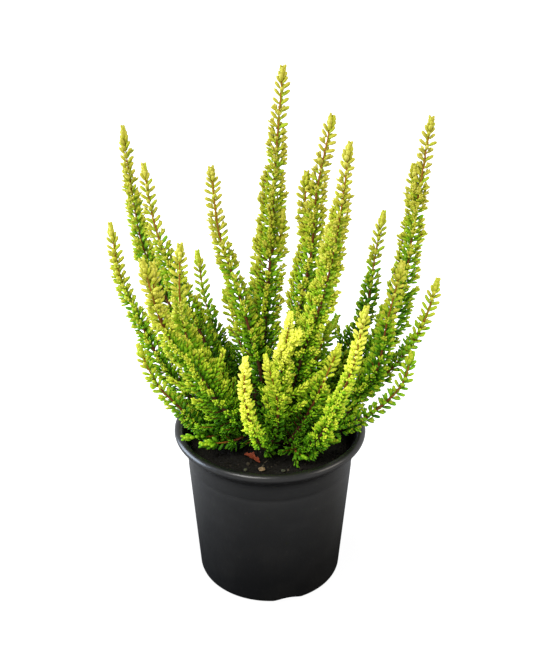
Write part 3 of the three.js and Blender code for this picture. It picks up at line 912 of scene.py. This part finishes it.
# %% Rules of growth
FIRST_NODE = 2.6
BUD_RADIUS = 1.5
LEAF_FOOT_DEPTH = 0.7
SPRIG_SHARE = 0.92
SPRIGS_FULL_BELOW = 50
SPRIG_REACH = 0.74
END_LEAF_REACH = 2.2
LONG_SPRIG_SHARE = 0.05
LONGEST_SPRIG = 24
SHADE_SPREAD = 0.06
LEAN_SPREAD = math.radians(6)
LOW_GROWTH_LIME = 0.28
FULL_SPREAD_LENGTH = 110
FULL_SPREAD_SHARE = 0.7
SPREAD_POWER = 0.8
BARE_FOOT = 3
OPEN_FRONT_SHARE = 0.4
OPEN_FRONT_SPACING = 2.4
YOUNG_OPEN_SHARE = 0.55
HEART_LEAF_LOSS = 0.5
HEART_SPRIG_LOSS = 0.3


def ease(value, low, high):
    """0 below low, 1 above high, and a smooth step between. Nearly all spans below are in mm."""
    t = min(max((value - low) / (high - low), 0), 1)
    return t * t * (3 - 2 * t)


def node_gap(sun, below):
    """How far below a pair the next one stands: close in the bud, and closer in the sun."""
    return (1.15 + 1.15 * ease(below, 6, 17)) * (1 - 0.40 * sun)


def leaf_lean(below):
    """The leaves lie close to the stem in the bud and open out below it."""
    return math.radians(17 + 35 * ease(below, 4, 16))


def leaf_length(below):
    return 4.3 + 1.9 * ease(below, 0, 13)


def leaf_width(length):
    return 0.85 + 0.32 * length


def leafy_radius(plan, below):
    """How far the leaves reach from the stem, in mm."""
    reach = min(FULL_SPREAD_LENGTH, plan["route"].length * FULL_SPREAD_SHARE)
    return BUD_RADIUS + (plan["spread"] - BUD_RADIUS) * min(1, below / reach) ** SPREAD_POWER

# %% [markdown]
# Golden heathers colour where the light reaches: high shoots are golden olive and the short shoots
# at the front a bright lime yellow. Two numbers say that for each leaf. Its tone, from 0 for deep
# green to 1 for the palest, is worked out from its place in the bush and its distance below the tip,
# and its sun turns the gold of the light tones to lime. The tone is pulled down in the heart of the
# bush, at the back, on the right and low by the mix: partly the green that shaded growth keeps and
# partly painted shade for the shade that falls there. Each shoot is also a little lighter or darker
# than its neighbours, so that they stand apart.

# %% Tone of a leaf
def sun_at(plan, point):
    """The shoot's sun, less in its highest part and where it leaves the mix."""
    return plan["sun"] * (1 - 0.8 * ease(point[2], 186, 214)) * (0.4 + 0.6 * ease(point[2], 104, 126))


def heart_at(point, sun):
    """1 deep inside the bush, where the leaves are fine and their tone carries painted shade, and 0 outside
    it.
    """
    inside = 1 - ease(math.hypot(point[0], point[1]), 18, 54)
    return inside * (1 - ease(point[2], 118, 180)) * (1 - sun)


def tone_at(point, below, sun):
    x, y, z = point
    height = ease(z, 110, 230)
    youth = 1 - ease(below, 10, 90)
    lit = 0.46 * sun * (1 - 0.6 * ease(below, 20, 80))
    heart = heart_at(point, sun)
    back = ease(y, 5, 50) * (1 - ease(z, 150, 200))
    right = ease(x, 35, 70) * (1 - ease(z, 155, 210))
    under = (1 - ease(math.hypot(x, y), 38, 56)) * (1 - ease(z, 110, 134))
    # painted shade: the tone drops in the heart, at the back, on the right and low by the mix
    shade = 0.3 * heart + 0.08 * back + 0.15 * right + 0.13 * under + 0.13 * (1 - ease(z, 105, 126))
    return 0.28 + 0.14 * height + 0.18 * youth * (0.4 + 0.6 * height) + lit - shade

# %% [markdown]
# A leaf row holds the foot, the direction, the way its upper face looks, its length, its width, its
# tone and its sun. A sprig bends from its armpit up towards the light, carries pairs of its own and
# ends in a small cluster. Before it grows, its end is tested: if it would come too close to another
# shoot's stem it stays short, and nothing grows into the mix or the pot. Some places on the front of
# a long shoot stay bare, where old leaves have dropped, so the dark stem shows through here and there,
# and just below the tip some leaves on the front are missing too, so the reddish young stem shows
# between them.
# Deep inside the bush, where it is dark, half of the stem leaves and some of the sprigs are missing.

# %% Room to grow
MIX_CLEARANCE = 0.3
LIP_CLEARANCE = 0.8
TOP_CLEARANCE = 0.6
LOOSE_THINGS_FREE_TO = 112
FREE_BESIDE = 1.5
FREE_IN_FRONT = 14
FREE_BEHIND = 1

loose_things = []
for node in ("fallen_leaf", "wood_chip", "perlite_grain_left", "perlite_grain_right"):
    low, high = (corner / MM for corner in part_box(node))
    loose_things.append((low.x - FREE_BESIDE, high.x + FREE_BESIDE,
                         low.y - FREE_IN_FRONT, high.y + FREE_BEHIND))


def tree_of(places):
    """A search tree of places, which finds the nearest one quickly."""
    tree = kdtree.KDTree(len(places))
    for count, place in enumerate(places):
        tree.insert(place, count)
    tree.balance()
    return tree


others = {plan["name"]: tree_of([place for other in shoots if other is not plan
                                 for place in other["route"].line[::6]]) for plan in shoots}


def in_the_pot(point):
    """Whether a point lies in the mix, the lip or the wall, or over one of the loose things."""
    x, y, z = point
    radius = math.hypot(x, y)
    if z < LOOSE_THINGS_FREE_TO and any(
            left < x < right and front < y < back for left, right, front, back in loose_things):
        return True
    if radius < NECK_RADIUS - 2:
        return z < mix_height(x, y) + MIX_CLEARANCE
    return radius < LIP_RADIUS + LIP_CLEARANCE and z < POT_HEIGHT + TOP_CLEARANCE

# %% Leaves and sprigs
STEM_CLEARANCE = 2.6
SPRIG_GAP = 2.0
SPRIG_LEAF_SLIMMER = 0.62
SHORTER_TRIES = (1, 0.7, 0.45, 0.25)
CLUSTER_LEAVES = 4
CLUSTER_TURN = 1.6
# Painted shade: leaves deep in the heart, near a sprig's foot and low on a shoot get a darker green tone.
HEART_PAINTED_SHADE = 0.24
# Painted light and shade: a leaf's tone rises as it faces the key lamp along LIGHT_SIDE and falls as it
# turns away.
LIGHT_SIDE = np.array([-0.35, -0.60, 0.72])
LAMP_SIDE_PAINTED_LIGHT = 0.12
HIGH_SHADE_TONE = 0.42
UPWARDS = np.array([0, 0, 1.0])


def between(first, second, angle):
    """A direction turned by an angle from the first one towards the second."""
    return first * math.cos(angle) + second * math.sin(angle)


def add_leaf(leaves, foot, forward, outwards, lean, length, width, tone, sun):
    """One leaf that leans away from a stem by an angle."""
    aim = between(forward, outwards, lean)
    if not in_the_pot(foot + aim * length) and not in_the_pot(foot):
        darkest = HIGH_SHADE_TONE * ease(foot[2], 195, 250)
        leaves.append((foot, aim, between(-outwards, forward, lean), length, width, max(tone, darkest), sun))


def find_room(plan, foot, start, finish, length):
    """The middle, tip and length of a sprig, shortened until its tip is free, or None."""
    for shrink in SHORTER_TRIES:
        middle = foot + start * length * shrink * 0.5
        tip = middle + finish * length * shrink * 0.5
        if others[plan["name"]].find(tip + finish * 2)[2] > STEM_CLEARANCE and not in_the_pot(tip):
            return middle, tip, length * shrink
    return None


def grow_sprig(leaves, twigs, plan, foot, forward, outwards, length, tone, inner_painted_shade, heart, sun, rng):
    """One sprig: its leaves and its twig go into the lists, unless it finds no room."""
    start = unit(forward * 0.5 + outwards * 0.87)
    finish = unit(forward * 0.75 + outwards * 0.62 + UPWARDS * 0.2)
    room = find_room(plan, foot, start, finish, length)
    if room is None:
        return
    middle, tip, length = room
    pairs = max(1, round(length / SPRIG_GAP))
    level = unit(np.cross(finish, UPWARDS + outwards * 0.01))
    grown_before = len(leaves)
    for i in range(pairs):
        t = (i + 0.7) / (pairs + 0.35)
        place = foot * (1 - t) ** 2 + middle * 2 * t * (1 - t) + tip * t ** 2
        along = unit(start * (1 - t) + finish * t)
        across = unit(level - along * level.dot(along))
        other_way = np.cross(across, along)
        turn = i * math.pi / 2 + rng.gauss(0.4, 0.15)
        lean = math.radians(31 - 12 * t) * rng.uniform(0.75, 1.2)
        size = (4.6 + 0.8 * math.sin(math.pi * min(1, t + 0.25))) * rng.uniform(0.85, 1.12)
        for half in (0, math.pi):
            away = between(across, other_way, turn + half)
            # painted shade: darker towards the sprig's foot, and at its outer end too in the heart
            own = tone + 0.21 - (inner_painted_shade + 0.21) * (1 - t) - HEART_PAINTED_SHADE * heart * t
            # painted light and shade by the leaf's facing to the key lamp
            own += LAMP_SIDE_PAINTED_LIGHT * away.dot(LIGHT_SIDE) + rng.gauss(0, 0.04)
            width = leaf_width(size) - SPRIG_LEAF_SLIMMER
            add_leaf(leaves, place + away * 0.25, along, away, lean, size * (1 + 0.15 * heart),
                     width * (1 - 0.4 * heart), own, sun)
    turn = rng.uniform(0, math.pi)
    for _ in range(CLUSTER_LEAVES):
        away = between(across, other_way, turn)
        lean = math.radians(rng.uniform(10, 34))
        size = rng.uniform(3.2, 4.4)
        # painted shade: the end cluster is darker in the heart
        own = tone + 0.20 - HEART_PAINTED_SHADE * heart + rng.gauss(0, 0.05)
        add_leaf(leaves, tip - finish * 0.4, finish, away, lean, size, 1.4 - 0.4 * heart, own, sun)
        turn += CLUSTER_TURN
    if len(leaves) > grown_before + 1.5 * pairs:
        twigs.append((foot, middle, tip))
    else:
        del leaves[grown_before:]

# %% Grow the shoots
def bare_share(below, height, own_lean):
    """The share of leaves missing on the front: in patches low down, and just below the bud."""
    patches = OPEN_FRONT_SHARE * ease(below, 30, 65) * ease(height, 118, 142)
    patches *= ease(math.sin(below / OPEN_FRONT_SPACING + own_lean * 30), 0, 0.6)
    return patches + YOUNG_OPEN_SHARE * (1 + 5 * own_lean) * ease(below, 8, 14) * (1 - ease(below, 38, 64))


def sprig_length(plan, below, distance, height, sun, rng):
    """Long enough to reach the edge of the leaves, or now and then a side shoot."""
    reach = leafy_radius(plan, below) * (1.12 + 0.25 * (1 - ease(height, 120, 190)))
    reach -= END_LEAF_REACH + 1.2 * sun + wood_radius(plan, distance)
    length = max(1.0, reach / SPRIG_REACH) * rng.uniform(0.68, 1.18)
    if rng.random() < LONG_SPRIG_SHARE * (1 - ease(height, 145, 180)):
        length = min(LONGEST_SPRIG, length * rng.uniform(1.8, 2.8))
    return length


def grow(plan, rng):
    """All leaves of a shoot, as rows, and the twigs of its sprigs."""
    leaves, sprig_leaves, twigs = [], [], []
    route = plan["route"]
    foot_gap = BARE_FOOT if plan["is_main"] else BARE_FOOT / 2
    sprigs_full_from = min(SPRIGS_FULL_BELOW, 0.6 * route.length)
    below, turn = FIRST_NODE, rng.gauss(0, 0.2)
    own_shade = rng.uniform(-SHADE_SPREAD, SHADE_SPREAD)
    own_lean = rng.uniform(-LEAN_SPREAD, LEAN_SPREAD)
    while below < route.length - foot_gap:
        distance = route.length - below
        middle = route.point(distance)
        forward, side, out = route.directions(distance)
        sun = sun_at(plan, middle)
        tone = tone_at(middle, below, sun) + own_shade
        heart = heart_at(middle, sun)
        # painted shade for leaves close in to the stems, less on high shoots
        inner_painted_shade = 0.36 - 0.18 * ease(middle[2], 185, 250)
        lime = min(1, sun + LOW_GROWTH_LIME * (1 - ease(middle[2], 180, 290)))
        for half in (0, math.pi):
            angle = turn + half + rng.gauss(0, 0.14 + 0.16 * sun)
            outwards = between(side, out, angle)
            foot = middle + outwards * wood_radius(plan, distance) * LEAF_FOOT_DEPTH
            size = leaf_length(below) * rng.uniform(0.88, 1.1) * (1 - 0.22 * sun)
            bare = bare_share(below, middle[2], own_lean) * (1 - 0.6 * sun)
            if math.sin(angle) > 0.7 and rng.random() < bare:
                continue
            if rng.random() > 0.25 * ease(below, 60, 130) + HEART_LEAF_LOSS * heart:
                # painted light and shade by the leaf's facing to the key lamp
                own = tone + LAMP_SIDE_PAINTED_LIGHT * outwards.dot(LIGHT_SIDE)
                # painted shade: stem leaves further below the tip are darker
                own -= 0.7 * inner_painted_shade * ease(below, 30, 60)
                lean = (leaf_lean(below) + own_lean) * rng.uniform(0.85, 1.15)
                add_leaf(leaves, foot, forward, outwards, lean,
                         size, leaf_width(size), own + rng.gauss(0, 0.04), lime)
            sprig_share = SPRIG_SHARE * ease(below, 12, sprigs_full_from)
            if rng.random() < sprig_share * (1 - HEART_SPRIG_LOSS * heart):
                length = sprig_length(plan, below, distance, middle[2], sun, rng)
                grow_sprig(sprig_leaves, twigs, plan, foot, forward, outwards,
                           length, tone, inner_painted_shade, heart, lime, rng)
        turn += math.pi / 2
        below += node_gap(sun, below) * rng.uniform(0.92, 1.08)
    return leaves, sprig_leaves, twigs


for index, plan in enumerate(shoots):
    rng = random.Random(100 + index)
    grown = [grow(stem, rng) for stem in (plan, *plan["side_tips"])]
    plan["leaves"], plan["sprig_leaves"], plan["twigs"] = (sum(rows, []) for rows in zip(*grown))
print("leaves:", sum(len(plan["leaves"]) for plan in shoots),
      "on sprigs:", sum(len(plan["sprig_leaves"]) for plan in shoots),
      "sprigs:", sum(len(plan["twigs"]) for plan in shoots))

# %% [markdown]
# ## Wood
# A stem is a tube round its route that thins towards the tip. A curve with a round bevel and its own
# radius at each point draws that directly. All stems of a branch go into one curve object and all its
# twigs into another, which are turned into meshes and have their end caps joined on. A little noise
# on the stems makes the bark uneven. Young wood is reddish and old wood dark brown, so each point
# stores how thick the nearest stem is, which stands for its age.

# %% Draw the wood of a branch
STEM_RING_SPACING = 2.0
STEM_END_GAP = 3
STEM_END_RADIUS = 0.3
FORK_SWELL = (1.5, 1.3)
TWIG_RADII = (0.42, 0.336, 0.231)


def draw_tubes(name, tubes, corners):
    """Round tubes through (points, radii), in mm, as one mesh. The ring has 4 + 2 * corners sides."""
    curve = bpy.data.curves.new(name, "CURVE")
    curve.dimensions = "3D"
    curve.bevel_depth = MM
    curve.bevel_resolution = corners
    curve.use_fill_caps = True
    for points, radii in tubes:
        spline = curve.splines.new("POLY")
        spline.points.add(len(points) - 1)
        places = np.column_stack([np.array(points) * MM, np.ones(len(points))])
        spline.points.foreach_set("co", places.ravel())
        spline.points.foreach_set("radius", np.array(radii, float))
    take(add_to_scene(name, curve))
    bpy.ops.object.convert(target="MESH")
    wood = bpy.context.object
    merge_points(wood)
    return wood


def stem_tube(plan, rng):
    route = plan["route"]
    stations = np.arange(0, route.length - STEM_END_GAP, STEM_RING_SPACING)
    points = [route.point(distance) for distance in stations]
    radii = [wood_radius(plan, distance) * rng.uniform(0.93, 1.07) for distance in stations]
    if not plan["is_main"]:
        radii[:2] = [radius * swell for radius, swell in zip(radii, FORK_SWELL)]
    radii[-1] = STEM_END_RADIUS
    return points, radii


def store_age(wood, members):
    """Writes on each point how old its wood is: 0 at the thin tip, 1 at the thick foot."""
    samples = [(place, wood_radius(plan, distance)) for plan in members
               for place, distance in zip(plan["route"].line[::8], plan["route"].distances[::8])]
    nearest_to = tree_of([Vector(place) * MM for place, _ in samples])
    ages = []
    for point in wood.data.vertices:
        _, nearest, gap = nearest_to.find(point.co)
        thick = (samples[nearest][1] - STEM_TIP_RADIUS) / (MAIN_STEM_RADIUS - STEM_TIP_RADIUS)
        ages.append(thick * (1 - 0.8 * ease(gap / MM, 2.2, 5)))
    store(wood, "age", ages)

# %% Bark
bark = Skin("young_bark", roughness=0.8, specular=0.3)
flakes = bark.effect(MOTTLE, Scale=420.0, From=0.4, To=0.65)
young_to_old = bark.ramp(bark.read("age"), [
    (0.0, (0.34, 0.135, 0.010)), (0.07, (0.21, 0.055, 0.008)), (0.36, (0.060, 0.018, 0.006)),
    (1.0, (0.024, 0.012, 0.007))])
bark.colour(bark.mix(bark.number("MULTIPLY", flakes, 0.3), young_to_old, (0.16, 0.060, 0.022, 1)))
bark.roughen(flakes, 0.62, 0.9)
bark.raise_grain(scale=900.0, depth=0.2)

# %% Build the branches
for index, branch in enumerate(BUSH):
    members = [plan for plan in shoots if plan["branch"] == branch]
    stems = [stem for plan in members for stem in (plan, *plan["side_tips"])]
    wood = draw_tubes("wood_" + branch, [stem_tube(stem, random.Random(500 + index)) for stem in stems], 2)
    push_about(wood, "bark_noise", scale=1.8, strength=0.3)
    twigs = [(twig, TWIG_RADII) for plan in members for twig in plan["twigs"]]
    smooth(join([wood, draw_tubes("twigs_" + branch, twigs, 0)]))
    store_age(wood, stems)
    settle(wood, bark, "branch_" + branch)

# %% [markdown]
# ## Crown
# All branches spring from one knotted lump at the surface of the mix. It is a ball with its points
# crowded by subdivision and pushed in and out by a coarse noise, so the stems look grown together.

# %% Crown
crown = add_solid("crown_burl", bpy.ops.mesh.primitive_uv_sphere_add, segments=32, ring_count=20,
                  radius=CROWN_RADIUS * MM, location=(0, 0, CROWN_HEIGHT * MM))
edit(crown)
bpy.ops.mesh.subdivide(number_cuts=1, smoothness=1)
leave_edit()
push_about(crown, "knots", scale=4, strength=2.2, mid_level=0.6, depth=3)
smooth(crown)
store(crown, "age", [1.0] * len(crown.data.vertices))
settle(crown, bark, "woody_crown")

# %% [markdown]
# ## Leaves
# The leaf rows become one mesh per shoot: the form's points are laid along each row's direction, side
# and face in one array sum. Four numbers are stored on the points for the colour: the tone, how
# sunny the place is, the place along the leaf and a number drawn for each leaf.

# %% Lay out the leaves
def lay_out(form, rows):
    """All points of the copies of a form, their triangles and the numbers stored on the points."""
    points, triangles = form
    foot, aim, face, length, width, tone, sun = (np.array(column) for column in zip(*rows))
    placed = foot[:, None, :]
    for size, k, way in ((length, 2, aim), (width, 0, np.cross(face, aim)), (width, 1, face)):
        placed = placed + (size[:, None] * points[:, k])[:, :, None] * way[:, None, :]
    count = len(points)
    faces = triangles[None] + (np.arange(len(rows)) * count)[:, None, None]
    numbers = {"tone": np.repeat(tone, count), "sun": np.repeat(sun, count),
               "along": np.tile(points[:, 2], len(rows))}
    return placed.reshape(-1, 3) * MM, faces.reshape(-1, 3), numbers


def leaf_mesh(name, plan, rng):
    kinds = ((LEAF, plan["leaves"]), (SPRIG_LEAF, plan["sprig_leaves"]))
    sets = [lay_out(form, rows) for form, rows in kinds if rows]
    piece = from_arrays(name, [(points, faces) for points, faces, _ in sets])
    per_leaf = [len(form[0]) for form, rows in kinds for _ in rows]
    for key in ("tone", "sun", "along"):
        store(piece, key, np.concatenate([numbers[key] for _, _, numbers in sets]))
    store(piece, "chance", np.repeat([rng.random() for _ in per_leaf], per_leaf))
    smooth(piece)
    return piece

# %% Leaf material
leaf_skin = Skin("golden_leaf", roughness=0.55, specular=0.15)
blotches = leaf_skin.effect(MOTTLE, Scale=700.0, From=0.35, To=0.65)
tone = leaf_skin.read("tone")
own = leaf_skin.read("chance")
for value, down, up in ((own, -0.10, 0.10), (leaf_skin.read("along"), -0.10, 0.08), (blotches, -0.05, 0.05)):
    tone = leaf_skin.number("ADD", tone, leaf_skin.rescale(value, 0, 1, down, up))
golden = leaf_skin.ramp(tone, [
    (0.0, (0.040, 0.150, 0.002)), (0.22, (0.162, 0.372, 0.006)), (0.42, (0.350, 0.452, 0.016)),
    (0.6, (0.388, 0.366, 0.028)), (0.8, (0.420, 0.386, 0.048)), (1.0, (0.500, 0.462, 0.100))])
lime = leaf_skin.ramp(tone, [
    (0.0, (0.045, 0.170, 0.002)), (0.25, (0.200, 0.450, 0.007)), (0.5, (0.430, 0.610, 0.022)),
    (0.75, (0.690, 0.750, 0.055)), (1.0, (0.880, 0.900, 0.130))])
leaf_skin.colour(leaf_skin.mix(leaf_skin.read("sun"), golden, lime))
leaf_skin.roughen(own, 0.45, 0.62)

# %% Build the leaves
for index, plan in enumerate(shoots):
    leaves = leaf_mesh("leaves_" + plan["name"], plan, random.Random(900 + index))
    settle(leaves, leaf_skin, "foliage_" + plan["name"])

# %% [markdown]
# ## Loose things on the mix
# A withered red-brown leaf, a tan chip of bark and two grains of perlite lie at the front. The leaf is a
# grid with its middle vein pushed down and its edges curled, given a thickness. The chip and the
# grains are pulled-about lumps like the crumbs, but finer.

# %% Withered leaf
FALLEN_AT = (-11, -23)
FALLEN_TURN = math.radians(-38)
FALLEN_LENGTH = 12.5
FALLEN_WIDTH = 5.0

fallen = add_solid("withered_leaf", bpy.ops.mesh.primitive_grid_add,
                   x_subdivisions=28, y_subdivisions=10, size=1)
for point in fallen.data.vertices:
    along, across = point.co.x + 0.5, point.co.y * 2
    ragged = 1 + 0.28 * math.sin(along * 17 + across) + 0.16 * math.sin(along * 41 - 2 * across)
    half_width = FALLEN_WIDTH / 2 * math.sin(math.pi * along ** 0.8) ** 0.6 * ragged + 0.15
    curl = 1.1 * abs(across) ** 2.2 * half_width / 2.5
    curl += 0.5 * math.sin(along * 5) + 0.25 * math.sin(across * 9 + along * 14)
    x = (along - 0.5) * FALLEN_LENGTH
    y = across * half_width * (1 - 0.25 * across ** 2) + 0.5 * math.sin(along * 4)
    point.co = Vector((FALLEN_AT[0] + x * math.cos(FALLEN_TURN) - y * math.sin(FALLEN_TURN),
                       FALLEN_AT[1] + x * math.sin(FALLEN_TURN) + y * math.cos(FALLEN_TURN),
                       mix_height(*FALLEN_AT) + 1.0 + curl)) * MM
apply_modifier(fallen, "SOLIDIFY", thickness=0.25 * MM, offset=0)
smooth(fallen)
print("withered leaf:", len(fallen.data.polygons), "faces")

# %% Withered leaf: colour
withered = Skin("withered_leaf", roughness=0.7, specular=0.3)
blotches = withered.effect(MOTTLE, Scale=330.0, From=0.35, To=0.7)
withered.colour(withered.mix(blotches, (0.30, 0.056, 0.016, 1), (0.060, 0.014, 0.008, 1)))
withered.roughen(blotches, 0.5, 0.85)
withered.raise_grain(scale=1100.0, depth=0.2)
settle(fallen, withered, "fallen_leaf")

# %% Chip and perlite
def lump_at(name, node, seed, pull):
    """A fine pulled-about lump that fills the box of its frame node."""
    low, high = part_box(node)
    lump = add_solid(name, bpy.ops.mesh.primitive_ico_sphere_add, subdivisions=2, radius=0.5,
                     location=(low + high) / 2, scale=(high - low) * 1.05)
    edit(lump)
    bpy.ops.transform.vertex_random(offset=pull * (high - low).length, uniform=0.3, normal=0.3, seed=seed)
    bpy.ops.mesh.subdivide(number_cuts=2, smoothness=0.3)
    leave_edit()
    push_about(lump, "pits", scale=0.7, strength=0.35)
    smooth(lump, sharp_from=40)
    return lump


def crumb_skin(name, dark, light, roughness):
    skin = Skin(name, roughness=roughness, specular=0.25)
    spots = skin.effect(MOTTLE, Scale=800.0, From=0.4, To=0.65)
    skin.colour(skin.mix(spots, light, dark))
    skin.raise_grain(scale=2200.0, depth=0.15)
    return skin


chip_skin = crumb_skin("pale_chip", (0.06, 0.038, 0.02, 1), (0.24, 0.165, 0.085, 1), 0.85)
perlite_skin = crumb_skin("perlite_skin", (0.022, 0.026, 0.014, 1), (0.080, 0.082, 0.048, 1), 0.9)
settle(lump_at("bark_chip", "wood_chip", 21, 0.05), chip_skin, "wood_chip")
for side, seed in (("left", 22), ("right", 23)):
    grain = lump_at("perlite_" + side, "perlite_grain_" + side, seed, 0.06)
    settle(grain, perlite_skin, "perlite_grain_" + side)
